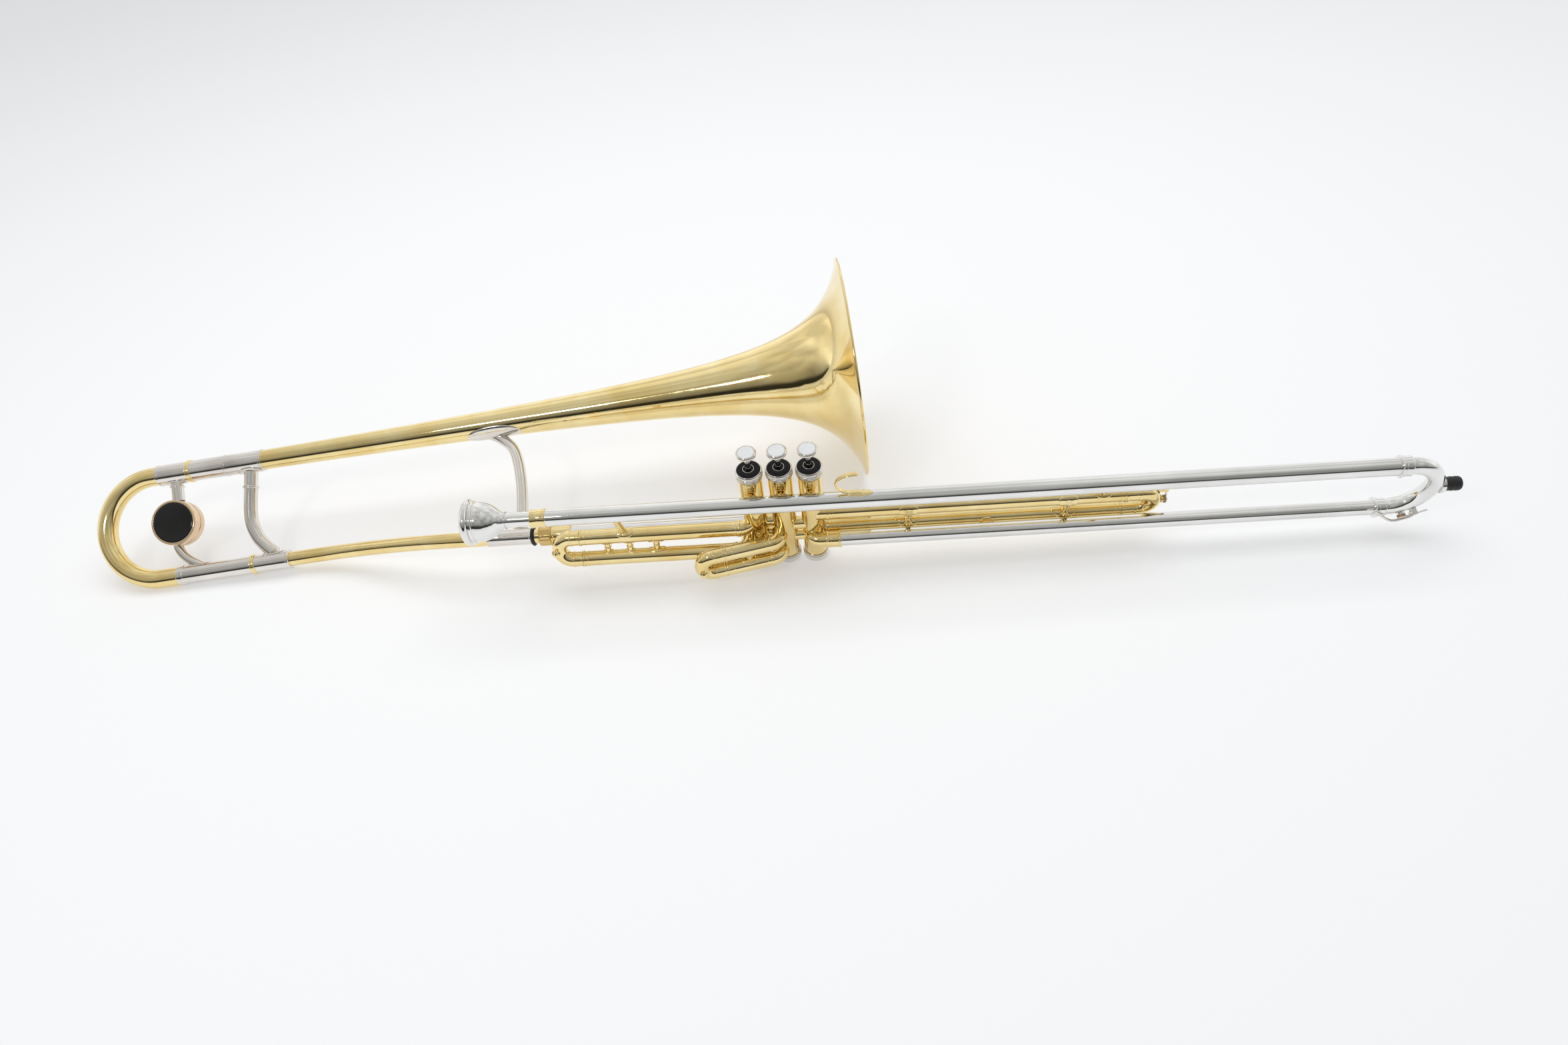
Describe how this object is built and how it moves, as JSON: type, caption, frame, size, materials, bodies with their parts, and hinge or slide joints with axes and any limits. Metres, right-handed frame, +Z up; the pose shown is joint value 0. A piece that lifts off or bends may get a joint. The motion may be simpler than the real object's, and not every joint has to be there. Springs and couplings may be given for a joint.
{
  "type": "valve trombone",
  "caption": "Valve trombone in lacquered brass with silver tubes, piston valves, pulling slides, flared bell, balance weight and mouthpiece.",
  "frame": {"origin": "on the floor, at the middle of the instrument's outline as it lies", "axes": "+X along the long tubes towards the crook and out of the bell, +Z up from the floor, +Y from the valve buttons' side towards the bell"},
  "size_m": [1.1947, 0.2917, 0.2],
  "materials": {
    "lacquered_brass": "polished lacquer",
    "nickel": "polished",
    "silver_plate": "mirror plate",
    "monel": "ground",
    "spring_steel": "drawn wire",
    "spring_brass": "drawn wire",
    "black_felt": "felt",
    "pearl": "pearl",
    "black_rubber": "moulded",
    "badge_black": "gloss",
    "cork": "cork pad",
    "weight_gold": "polished lacquer"
  },
  "bodies": {
    "body": {"valve_casing_1": "lacquered_brass", "valve_casing_2": "lacquered_brass", "valve_casing_3": "lacquered_brass", "bottom_caps": "nickel", "top_caps": "nickel", "cap_felts": "black_felt", "valve_knuckles": "lacquered_brass", "mouthpipe": "silver_plate", "lower_tube": "silver_plate", "crook": "silver_plate", "bumper": "black_rubber", "mouthpipe_mounts": "lacquered_brass", "finger_hook": "lacquered_brass", "mouthpiece_receiver": "lacquered_brass", "lock_tube": "silver_plate", "lock_ferrule": "lacquered_brass", "lock_washer": "black_rubber", "neck_pipe": "lacquered_brass", "neck_sleeve": "nickel", "bell": "lacquered_brass", "bell_sleeves": "nickel", "sleeve_rings": "lacquered_brass", "rear_brace": "nickel", "bell_brace": "nickel", "slide_1_tubes": "lacquered_brass", "slide_2_tubes": "lacquered_brass", "slide_3_tubes": "lacquered_brass", "slide_stays": "lacquered_brass", "crook_key_spring": "spring_brass", "valve_spring_1": "spring_steel", "valve_spring_2": "spring_steel", "valve_spring_3": "spring_steel"},
    "valve_1": {"piston_1": "monel", "valve_button_1": "nickel", "button_inlay_1": "pearl"},
    "valve_2": {"piston_2": "monel", "valve_button_2": "nickel", "button_inlay_2": "pearl"},
    "valve_3": {"piston_3": "monel", "valve_button_3": "nickel", "button_inlay_3": "pearl"},
    "tuning_slide": {"tuning_bow": "lacquered_brass", "tuning_legs": "nickel", "balance_weight": "weight_gold", "weight_badge": "badge_black", "weight_braces": "nickel"},
    "slide_1": {"slide_1_bow": "lacquered_brass", "slide_1_legs": "nickel"},
    "slide_2": {"slide_2_bow": "lacquered_brass", "slide_2_legs": "nickel"},
    "slide_3": {"slide_3_bow": "lacquered_brass", "slide_3_legs": "nickel", "slide_key_spring": "spring_brass"},
    "crook_key": {"crook_key_lever": "nickel", "crook_key_pad": "cork"},
    "slide_key": {"slide_key_lever": "nickel", "slide_key_pad": "cork"},
    "lock_nut": {"lock_nut": "lacquered_brass"},
    "mouthpiece": {"mouthpiece": "silver_plate"}
  },
  "joints": [
    {"name": "valve_1_press", "type": "slide", "parent": "body", "child": "valve_1", "axis": [-0.0181, 0.1484, -0.9888], "range_m": [0, 0.0145], "stiffness_N_per_m": 90, "springref_m": -0.02, "deforming": ["valve_spring_1"]},
    {"name": "valve_2_press", "type": "slide", "parent": "body", "child": "valve_2", "axis": [-0.0181, 0.1484, -0.9888], "range_m": [0, 0.0145], "stiffness_N_per_m": 90, "springref_m": -0.02, "deforming": ["valve_spring_2"]},
    {"name": "valve_3_press", "type": "slide", "parent": "body", "child": "valve_3", "axis": [-0.0181, 0.1484, -0.9888], "range_m": [0, 0.0145], "stiffness_N_per_m": 90, "springref_m": -0.02, "deforming": ["valve_spring_3"]},
    {"name": "tuning_slide_pull", "type": "slide", "parent": "body", "child": "tuning_slide", "axis": [-0.9963, -0.0773, -0.0379], "range_m": [0, 0.028]},
    {"name": "slide_1_pull", "type": "slide", "parent": "body", "child": "slide_1", "axis": [-0.9998, -0.0027, 0.0179], "range_m": [0, 0.09]},
    {"name": "slide_2_pull", "type": "slide", "parent": "body", "child": "slide_2", "axis": [-0.9773, -0.2116, -0.0139], "range_m": [0, 0.028]},
    {"name": "slide_3_pull", "type": "slide", "parent": "body", "child": "slide_3", "axis": [0.9998, 0.0027, -0.0179], "range_m": [0, 0.12]},
    {"name": "mouthpiece_pull", "type": "slide", "parent": "body", "child": "mouthpiece", "axis": [-0.9998, -0.0027, 0.0179], "range_m": [0, 0.05]},
    {"name": "crook_key_press", "type": "hinge", "parent": "body", "child": "crook_key", "pos_m": [0.56876, -0.11776, 0.02321], "axis": [-0.2271, -0.7071, 0.6697], "range_deg": [0, 14], "stiffness_Nm_per_rad": 0.02, "springref_deg": -28.65},
    {"name": "slide_key_press", "type": "hinge", "parent": "slide_3", "child": "slide_key", "pos_m": [0.36965, -0.09696, 0.05138], "axis": [0.0082, -0.9495, 0.3137], "range_deg": [0, 14], "stiffness_Nm_per_rad": 0.02, "springref_deg": -28.65},
    {"name": "lock_nut_turn", "type": "hinge", "parent": "body", "child": "lock_nut", "pos_m": [-0.15966, -0.09322, 0.04477], "axis": [0.9998, 0.0027, -0.0179], "continuous": true}
  ]
}
